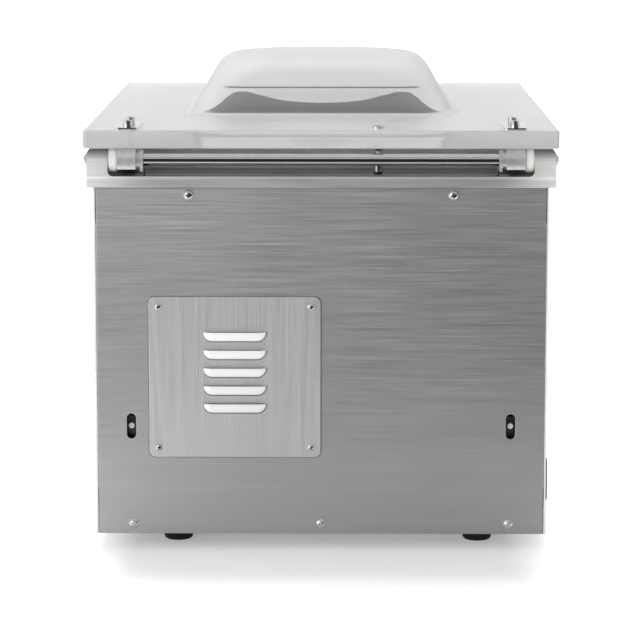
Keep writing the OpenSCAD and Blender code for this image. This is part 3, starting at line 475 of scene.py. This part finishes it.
def add_object(name, data, finish, body):
    """An object of one material that rides on a body, if one is given."""
    made = bpy.data.objects.new(name, data)
    bpy.context.collection.objects.link(made)
    data.materials.append(finish.material)
    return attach(made, body) if body else made


def loft(name, rings, finish, body, sharp=30.0):
    """A closed skin through rings of equally many points, with a flat cap on each end."""
    mesh = bpy.data.meshes.new(name)
    work = bmesh.new()
    grid = [[work.verts.new(point) for point in ring] for ring in rings]
    for low, high in zip(grid, grid[1:]):
        skirt(work, low, high)
    work.faces.new(grid[0][::-1])
    work.faces.new(grid[-1])
    bmesh.ops.recalc_face_normals(work, faces=work.faces)
    for face in work.faces:
        face.smooth = True
    work.to_mesh(mesh)
    work.free()
    mesh.set_sharp_from_angle(angle=math.radians(sharp))
    return add_object(name, mesh, finish, body)


def rounded_ring(centre, half_w, half_d, radius, z, steps=12):
    """Points of a level rounded rectangle, counter-clockwise."""
    points = []
    for corner, (sx, sy) in enumerate(((1, 1), (-1, 1), (-1, -1), (1, -1))):
        for step in range(steps + 1):
            angle = math.radians(90.0 * (corner + step / steps))
            x = centre[0] + sx * (half_w - radius) + radius * math.cos(angle)
            y = centre[1] + sy * (half_d - radius) + radius * math.sin(angle)
            points.append(Vector((x, y, z)))
    return points


def smooth_path(points, steps):
    """Catmull-Rom curve through the points."""
    ends = [points[0], *points, points[-1]]
    path = []
    for a, b, c, d in zip(ends, ends[1:], ends[2:], ends[3:]):
        for step in range(steps):
            t = step / steps
            square = (2 * a - 5 * b + 4 * c - d) * t**2
            cube = (3 * b - a - 3 * c + d) * t**3
            path.append(0.5 * (2 * b + (c - a) * t + square + cube))
    return [*path, points[-1]]


def wire(name, path, radius, finish, body, sides=10):
    """Round wire along a path, closed at both ends."""
    rings = []
    side = None
    for before, here, after in zip([path[0], *path], path, [*path[1:], path[-1]]):
        along = (after - before).normalized()
        if side is None:
            side = along.orthogonal().normalized()
        side = (side - along * side.dot(along)).normalized()
        up = along.cross(side)
        turns = [2 * math.pi * i / sides for i in range(sides)]
        rings.append([here + radius * (math.cos(turn) * side + math.sin(turn) * up) for turn in turns])
    return loft(name, rings, finish, body, 60.0)


# ---- Lid ----

LID_CORNER = 3 * MM
LID_EDGE = 0.8 * MM
DOME_W, DOME_D = 203 * MM, 178 * MM
DOME_SETBACK = 121 * MM  # from the lid's rear edge
DOME_CORNER = 28 * MM
DOME_TURN = 0.35  # how much a corner's radius grows for each mm that the dome closes in
DOME_TONE = (0.97, 0.98, 0.98)
DOME_MILK = 0.56
PLATE_MILK = 0.52

lid_low, lid_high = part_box("lid_plate")
lid_under, lid_top = lid_low.z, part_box("clamp_plates")[0].z
dome_centre = (0.0, lid_high.y - DOME_SETBACK - DOME_D / 2)

# Sections of the dome: how far in from its base outline, and how high over the lid's top, in mm
DOME_OUTSIDE = [
    *[(-7, 0), (-5.5, 0.1), (-2, 0.9), (1.5, 4), (6.2, 11), (9.7, 17), (14, 25)],
    *[(19.5, 33.2), (26, 38.9), (34.5, 41.9), (50, 43.4), (75, 43.9)],
]
DOME_INSIDE = [
    *[(0, -13), (2, -12.6), (4.5, -10), (8.5, -1), (14, 10), (19.5, 20.5)],
    *[(25, 28), (31.5, 33), (41, 35.8), (54, 36.7), (75, 36.9)],
]

# Painted lines on the dome's rear wall, in mm: the upper edge of the painted shade of its foot, as distance
# from the middle and height over the lid's top, then a painted bright line and a painted dark line, by their
# first and last height and how soft they are
SHADE_LINE = [(0, 8.8), (26, 10.1), (49, 14.7), (62, 17), (72, 13.4), (78, 8.4), (90, 2.2), (102, 0)]
GLINT_OVER_SHADE = (0.3, 2.2, 0.6)
ROLL_OVER_LID = (19.5, 20.6, 0.4)


def dome_rings(section):
    """Level rings of the dome, from its foot up, along a smooth curve through a section."""
    rings = []
    for inset, height in smooth_path([Vector(point) * MM for point in section], 5):
        half_w, half_d = DOME_W / 2 - inset, DOME_D / 2 - inset
        corner = min(DOME_CORNER + DOME_TURN * inset, half_d - MM)
        rings.append(rounded_ring(dome_centre, half_w, half_d, corner, lid_top + height))
    return rings


def plate_ring(inset, z):
    """The outline of the lid's plate at a height, drawn in by an inset."""
    centre = (lid_low + lid_high) / 2
    half = (lid_high - lid_low) / 2
    return rounded_ring(centre, half.x - inset, half.y - inset, LID_CORNER - inset, z)


def dome_glazing():
    """Milky acrylic of the dome; painted shade and painted dark and bright lines on its rear wall stand for
    its thick rolled foot, and its crown is painted darker.
    """
    finish = glazing("dome_acrylic", DOME_TONE, roughness=0.3, milk=DOME_MILK).set("IOR", 1.35)
    out = finish.off_middle("X")
    height = finish.math("SUBTRACT", finish.place("Z"), lid_top)
    shade_top = finish.curve(out, [(x * MM, z * MM) for x, z in SHADE_LINE])
    over = finish.math("SUBTRACT", height, shade_top)
    # Painted shade of the foot, up to the shade line
    shade = finish.multiply(finish.step(over, 0, -0.7 * MM), finish.step(height, 1.3 * MM, MM))
    # A painted dark line over the lid's top, and a painted bright line over the shade
    painted_roll_line = finish.multiply(finish.step(out, 74 * MM, -8 * MM), finish.band(height, *ROLL_OVER_LID))
    painted_glint = finish.multiply(finish.step(out, 96 * MM, -10 * MM), finish.band(over, *GLINT_OVER_SHADE))
    # Painted highlight on the bright line and above 21 mm
    lights = finish.math("MAXIMUM", painted_glint, finish.step(height, 21 * MM, MM))
    lines = finish.multiply(finish.between(shade, 1.0, 0.33), finish.between(painted_roll_line, 1.0, 0.25))
    lines = finish.multiply(lines, finish.between(lights, 1.04, 1.05))
    wall = finish.step(finish.toward("Y"), 0.4, 0.3)
    on_wall = finish.multiply(wall, finish.math("SUBTRACT", lines, 1.0))
    # Painted shade: the crown is darker where it faces up
    crown = finish.step(finish.toward("Z"), 0.4, 0.3)
    return finish.tint(finish.between(crown, 1.0, 0.93), finish.math("ADD", on_wall, 1.0))


def plate_glazing():
    """Clear acrylic of the lid's plate, scuffed on its flat faces and polished round its edge."""
    finish = glazing("lid_acrylic", (0.9, 0.91, 0.91), roughness=0.12, milk=PLATE_MILK).set("IOR", 1.4)
    return finish.drive("Roughness", finish.between(finish.facing("Z"), 0.06, 0.26))


acrylic = plate_glazing()
dome_acrylic = dome_glazing()
inner_acrylic = glazing("inner_acrylic", DOME_TONE, milk=0.03)
lid = loft(
    "lid_clear_plate",
    [
        *reversed(dome_rings(DOME_INSIDE)),
        plate_ring(LID_EDGE, lid_under),
        plate_ring(0, lid_under + LID_EDGE),
        plate_ring(0, lid_top - LID_EDGE),
        plate_ring(LID_EDGE, lid_top),
        *dome_rings(DOME_OUTSIDE),
    ],
    acrylic,
    "lid",
)
lid.data.materials.append(dome_acrylic.material)
lid.data.materials.append(inner_acrylic.material)
# The plate is the first material, the dome's outside the second and its inside the third
inner_faces = len(dome_rings(DOME_INSIDE)) * len(plate_ring(0, 0))
for face in lid.data.polygons:
    above = face.center.z > lid_top + 0.05 * MM
    face.material_index = 2 if face.index < inner_faces else int(above)
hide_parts("lid_plate")


# ---- Printed scale, digits and symbols of the sloping front ----

# The front, and where its details are: across and up from the middle of its foot, and out, in mm
SLOPE_UP = Vector((0.0, 0.327, 0.945))
SLOPE_OUT = Vector((0.0, -0.945, 0.327))
SLOPE_FOOT = Vector((0.0, -240.0, 70.0))
GAUGE_AT = (-104.0, 112.0)
DIAL_OUT = -8.0
DIAL_RIM = 27.0
DIAL_START = 135.0  # degrees
DIAL_SWEEP = 270.0
BUTTON_AT = [(-42, 96), (-14, 96), (14, 96), (42, 96)]
BUTTON_OUT = 2.8
DISPLAY_UP = 142
DISPLAY_OUT = 1.0
ROCKER_AT = (112.0, 60.0)
ROCKER_PIVOT = -6.0
ROCKER_TILT = math.radians(10.0)
ROCKER_FACE = 6.4  # from the pivot
ROCKER_VALLEY = 1 / 6  # how much the face rises for each mm from its middle
PRINT_FROM, PRINT_TO = -0.05, 0.08  # print starts under its face and ends over it

# Seven-bar digits: the ends of each bar, in half widths and half heights, and the bars of each digit
BARS = {
    "A": (-1, 1, 1, 1),
    "B": (1, 0, 1, 1),
    "C": (1, -1, 1, 0),
    "D": (-1, -1, 1, -1),
    "E": (-1, -1, -1, 0),
    "F": (-1, 0, -1, 1),
    "G": (-1, 0, 1, 0),
}
DIGITS = {
    "0": "ABCDEF",
    "1": "BC",
    "2": "ABGED",
    "3": "ABGCD",
    "4": "FGBC",
    "5": "AFGCD",
    "6": "AFGEDC",
    "8": "ABCDEFG",
}
# Up, down, less and more, about a button's middle, in mm
SYMBOLS = [
    [(-2.4, -1, 0, 1.6), (0, 1.6, 2.4, -1)],
    [(-2.4, 1, 0, -1.6), (0, -1.6, 2.4, 1)],
    [(-2.2, 0, 2.2, 0)],
    [(-2.2, 0, 2.2, 0), (0, -2.2, 0, 2.2)],
]


def on_slope(across, up, out):
    """A place on the front, in the shared frame."""
    return (SLOPE_FOOT + Vector((across, 0.0, 0.0)) + SLOPE_UP * up + SLOPE_OUT * out) * MM


def on_rocker(across, up, out):
    """A place on the rocker's two-sloped face, in mm from its middle, with the switch off."""
    rise = ROCKER_FACE + abs(up) * ROCKER_VALLEY + out
    turned_up = up * math.cos(ROCKER_TILT) - rise * math.sin(ROCKER_TILT)
    turned_out = up * math.sin(ROCKER_TILT) + rise * math.cos(ROCKER_TILT)
    return on_slope(ROCKER_AT[0] + across, ROCKER_AT[1] + turned_up, ROCKER_PIVOT + turned_out)


def printed(name, strokes, width, out, finish, body="root", surface=on_slope):
    """Thin raised strokes on a face; each is (from across, from up, to across, to up), in mm."""
    mesh = bpy.data.meshes.new(name)
    work = bmesh.new()
    for a0, v0, a1, v1 in strokes:
        along = Vector((a1 - a0, v1 - v0))
        side = Vector((-along.y, along.x)).normalized() * width / 2
        corners = [(a0 + side.x, v0 + side.y), (a0 - side.x, v0 - side.y)]
        corners += [(a1 - side.x, v1 - side.y), (a1 + side.x, v1 + side.y)]
        low = [work.verts.new(surface(*corner, out + PRINT_FROM)) for corner in corners]
        high = [work.verts.new(surface(*corner, out + PRINT_TO)) for corner in corners]
        work.faces.new(low[::-1])
        work.faces.new(high)
        skirt(work, low, high)
    bmesh.ops.recalc_face_normals(work, faces=work.faces)
    work.to_mesh(mesh)
    work.free()
    return add_object(name, mesh, finish, body)


def digits(text, middle, height, pitch):
    """Seven-bar digits about a middle, in mm."""
    half_h, half_w = height / 2, height / 4
    bars = []
    for place, digit in enumerate(text):
        a = middle[0] + (place - (len(text) - 1) / 2) * pitch
        for a0, v0, a1, v1 in (BARS[bar] for bar in DIGITS[digit]):
            start = (a + a0 * half_w, middle[1] + v0 * half_h)
            end = (a + a1 * half_w, middle[1] + v1 * half_h)
            bars.append((*start, *end))
    return bars


def dial_point(radius, share):
    """A place on the dial, at a share of the needle's way round from the upper left to the lower left."""
    angle = math.radians(DIAL_START - DIAL_SWEEP * share)
    return GAUGE_AT[0] + radius * math.cos(angle), GAUGE_AT[1] + radius * math.sin(angle)


def dial_marks(count, inner):
    """Marks that part the scale into equal shares, from an inner radius out to the rim."""
    shares = [i / count for i in range(count + 1)]
    return [(*dial_point(inner, share), *dial_point(DIAL_RIM, share)) for share in shares]


ink = moulded("dial_ink", (0.02, 0.02, 0.025), 0.5)
lit = moulded("digit_glow", (0.7, 0.04, 0.02), 0.4)
lit.set("Emission Color", (1.0, 0.06, 0.02, 1.0)).set("Emission Strength", 0.5)
symbol = moulded("symbol_ink", (0.7, 0.7, 0.69), 0.5)

printed("dial_tens", dial_marks(10, 21.5), 0.8, DIAL_OUT, ink)
printed("dial_units", dial_marks(50, 24.5), 0.3, DIAL_OUT, ink)
numbers = [bar for i in range(6) for bar in digits(str(20 * i), dial_point(16.5, i / 5), 3.2, 2.7)]
printed("dial_numbers", numbers, 0.5, DIAL_OUT, ink)

shown = digits("25", (-18, DISPLAY_UP), 14, 12) + digits("30", (18, DISPLAY_UP), 14, 12)
printed("display_digits", shown, 1.5, DISPLAY_OUT, lit)

for place, ((across, up), strokes) in enumerate(zip(BUTTON_AT, SYMBOLS), 1):
    placed = [(across + a0, up + v0, across + a1, up + v1) for a0, v0, a1, v1 in strokes]
    printed(f"button_symbol_{place}", placed, 0.7, BUTTON_OUT, symbol, f"button_{place}")

printed("rocker_on", [(0, 3.6, 0, 8.4)], 1.0, 0.0, symbol, "rocker", on_rocker)
turns = [i * math.pi / 8 for i in range(17)]
ring = [(1.9 * math.cos(turn), 1.9 * math.sin(turn) - 6.0) for turn in turns]
printed("rocker_off", [(*p, *q) for p, q in zip(ring, ring[1:])], 0.8, 0.0, symbol, "rocker", on_rocker)


# ---- Lid springs ----

WIRE_R = 0.75 * MM
COIL_R = 4.75 * MM
COIL_PITCH = 2.7 * MM
COIL_STEPS = 14
LEAD_TOP = 44 * MM  # straight wire above the coil
LEAD_LOW = 16 * MM  # and below it

spring_steel = machined("spring_wire", (0.42, 0.42, 0.42), roughness=0.25)
spring_low, spring_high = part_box("lid_springs")


def helix(top, foot):
    """Centre line of a spring from top to foot: a coil between two straight leads."""
    down = (foot - top).normalized()
    side = Vector((1, 0, 0))
    front = down.cross(side)
    first = top + down * LEAD_TOP
    turns = int(((foot - top).length - LEAD_TOP - LEAD_LOW) / COIL_PITCH)
    path = [top, top + down * LEAD_TOP * 0.5, top + down * (LEAD_TOP - 3 * WIRE_R)]
    for step in range(turns * COIL_STEPS + 1):
        turn = 2 * math.pi * step / COIL_STEPS
        # Each end of the coil opens from a fifth of its radius within half a turn
        nearest_end = min(step, turns * COIL_STEPS - step) / COIL_STEPS
        radius = COIL_R * min(1.0, nearest_end * 2 + 0.2)
        centre = first + down * COIL_PITCH * step / COIL_STEPS
        path.append(centre + radius * (math.cos(turn) * side + math.sin(turn) * front))
    return [*path, foot - down * LEAD_LOW * 0.4, foot]


for side, label in ((-1, "right"), (1, "left")):
    x = side * (spring_high.x - COIL_R - WIRE_R)
    top = Vector((x, spring_high.y - COIL_R - WIRE_R, spring_high.z - WIRE_R))
    foot = Vector((x, spring_low.y + COIL_R + WIRE_R, spring_low.z + WIRE_R))
    spring = wire(f"lid_spring_{label}", helix(top, foot), WIRE_R, spring_steel, None)
    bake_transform(spring)
    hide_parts("lid_springs")


# ---- Studio ----

PHOTO_CAMERA = Vector((-10.3, 2121.6, 502.6)) * MM
PHOTO_PITCH = math.radians(8.37)
PHOTO_YAW = math.radians(0.555)

# Grey levels from straight down (0) over the horizon (0.5) to straight up (1): the light on dull faces, then
# what polished metal mirrors, first on most sides and then on ROOM_SIDE, where the camera is
SKY_LIGHT = [(0.0, 0.5), (0.5, 1.1), (0.75, 0.55), (1.0, 0.42)]
FRONT_LIGHT = [(0.0, 0.8), (0.5, 0.85), (0.56, 0.9), (0.66, 0.55), (0.8, 0.62), (1.0, 0.6)]
ROOM_LIGHT = [
    *[(0.0, 0.9), (0.08, 0.6), (0.14, 0.02), (0.67, 0.02), (0.7, 0.5)],
    *[(0.79, 0.5), (0.82, 0.12), (0.88, 0.12), (0.9, 0.7), (1.0, 0.7)],
]
ROOM_SIDE = (-0.4, 0.92, 0.0)
ROOM_EDGE = (0.3, 0.84)  # part of a direction along ROOM_SIDE at which the room begins, and is full

FLOOR_SPAN = 12.0
FLOOR_BEHIND = 0.46  # the floor's edge on the hinge side
FLOOR_NARROW = 2.2  # a distance along X counts this many times as much as one along Y
FLOOR_GLOW = [(0.0, 0.28), (0.3, 0.3), (0.4, 0.68), (0.52, 0.97)]  # by distance, the larger of the two
FLOOR_MIRRORED = 0.3  # share of the glow that is seen in the metal and through the lid

camera = bpy.data.objects.new("camera", bpy.data.cameras.new("camera"))
bpy.context.collection.objects.link(camera)
camera.location = PHOTO_CAMERA
camera.rotation_euler = Euler((math.pi / 2 - PHOTO_PITCH, 0.0, math.pi + PHOTO_YAW))
camera.data.lens = 152.4
camera.data.sensor_width = 36.0
camera.data.shift_y = -0.1
bpy.context.scene.camera = camera


def softbox(name, at, aim, size, power, mirrored=True):
    """A rectangular lamp at a place, aimed at another, that glass never shows."""
    lamp = bpy.data.lights.new(name, "AREA")
    lamp.shape = "RECTANGLE"
    lamp.size, lamp.size_y = size
    lamp.energy = power
    made = bpy.data.objects.new(name, lamp)
    bpy.context.collection.objects.link(made)
    made.location = at
    made.rotation_euler = (Vector(aim) - made.location).to_track_quat("-Z", "Y").to_euler()
    made.visible_glossy = mirrored
    made.visible_transmission = False


softbox("top_softbox", (0.2, -0.8, 2.2), (0, 0.1, 0.1), (1.4, 1.4), 42.0, mirrored=False)
softbox("rear_softbox", (1.7, 1.7, 0.9), (0, 0.2, 0.2), (1.2, 1.2), 11.0)

world = bpy.data.worlds.new("studio")
bpy.context.scene.world = world
world.use_nodes = True
sky = Graph(world.node_tree)


def mixed(factor, a, b):
    """Colour a where factor is 0 and b where it is 1; each is a socket or a grey level."""
    made = sky.node("ShaderNodeMix", data_type="RGBA")
    sky.link(factor, made.inputs["Factor"])
    for key, value in (("A", a), ("B", b)):
        if isinstance(value, float):
            made.inputs[key].default_value = (value, value, value, 1.0)
        else:
            sky.link(value, made.inputs[key])
    return made.outputs["Result"]


direction = sky.node("ShaderNodeTexCoord").outputs["Generated"]
sky_height = sky.map(sky.part(direction, "Z"), (-1, 1), (0, 1))
toward_room = sky.node("ShaderNodeVectorMath", operation="DOT_PRODUCT")
toward_room.inputs[1].default_value = ROOM_SIDE
sky.link(direction, toward_room.inputs[0])
in_room = sky.map(toward_room.outputs["Value"], ROOM_EDGE, (0, 1))
reflected = mixed(in_room, sky.ramp(sky_height, FRONT_LIGHT), sky.ramp(sky_height, ROOM_LIGHT))
rays = sky.node("ShaderNodeLightPath").outputs
unseen = mixed(rays["Is Glossy Ray"], sky.ramp(sky_height, SKY_LIGHT), reflected)
seen = sky.math("MAXIMUM", rays["Is Camera Ray"], rays["Is Transmission Ray"])
sky.link(mixed(seen, unseen, 1.0), sky.tree.nodes["Background"].inputs["Color"])

floor_mesh = bpy.data.meshes.new("floor")
outline = ((-1, -FLOOR_SPAN), (1, -FLOOR_SPAN), (1, FLOOR_BEHIND), (-1, FLOOR_BEHIND))
floor_mesh.from_pydata([(x * FLOOR_SPAN, y, 0.0) for x, y in outline], [], [(0, 1, 2, 3)])
floor_finish = Finish("floor_white", (0.85, 0.85, 0.85), 0.0, 0.9)
floor_finish.tint(floor_finish.spread(floor_finish.noise([2.0] * 3), 0.995, 1.005))
floor_finish.set("Emission Color", (1.0, 1.0, 1.0, 1.0))
across = floor_finish.multiply(floor_finish.off_middle("X"), FLOOR_NARROW)
away = floor_finish.math("MAXIMUM", floor_finish.off_middle("Y"), across)
direct = floor_finish.node("ShaderNodeLightPath").outputs["Is Camera Ray"]
glow = floor_finish.multiply(floor_finish.backdrop_rays(), floor_finish.ramp(away, FLOOR_GLOW))
glow = floor_finish.multiply(glow, floor_finish.between(direct, FLOOR_MIRRORED, 1.0))
floor_finish.drive("Emission Strength", glow)
floor = add_object("floor", floor_mesh, floor_finish, None)

bpy.context.scene.view_settings.view_transform = "Standard"
